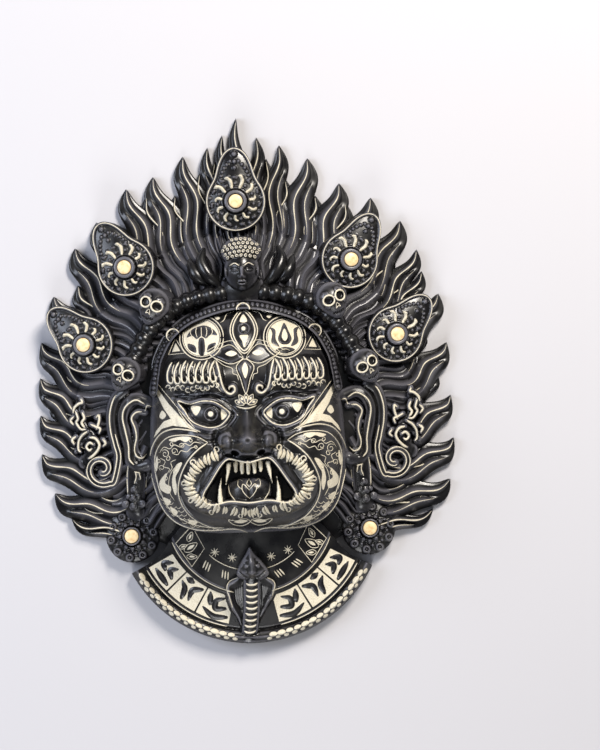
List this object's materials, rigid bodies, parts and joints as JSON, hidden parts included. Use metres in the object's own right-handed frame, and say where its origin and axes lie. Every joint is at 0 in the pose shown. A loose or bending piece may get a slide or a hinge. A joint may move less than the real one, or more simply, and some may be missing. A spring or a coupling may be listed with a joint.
{
  "type": "tibetan cham mask",
  "caption": "Black cast-resin wrathful protector mask with a screen of flames, leaf-shaped crown jewels, skulls, long ears, a scaled collar and a rearing cobra, hollow behind.",
  "frame": {"origin": "middle of the mask's outline, on the flat back that it lies on", "axes": "+Z out of the face, +Y towards the crown of flames, +X towards the viewer's right"},
  "size_m": [0.2752, 0.3445, 0.0944],
  "materials": {
    "black_resin": "satin black cast resin with cream-rubbed ridges and cream-filled lines",
    "bone_resin": "smooth bone-coloured resin"
  },
  "bodies": {
    "root": {"mask": "black_resin", "crown_stud_top": "bone_resin", "crown_stud_upper_left": "bone_resin", "crown_stud_upper_right": "bone_resin", "crown_stud_lower_left": "bone_resin", "crown_stud_lower_right": "bone_resin", "earring_stud_left": "bone_resin", "earring_stud_right": "bone_resin"}
  },
  "joints": []
}
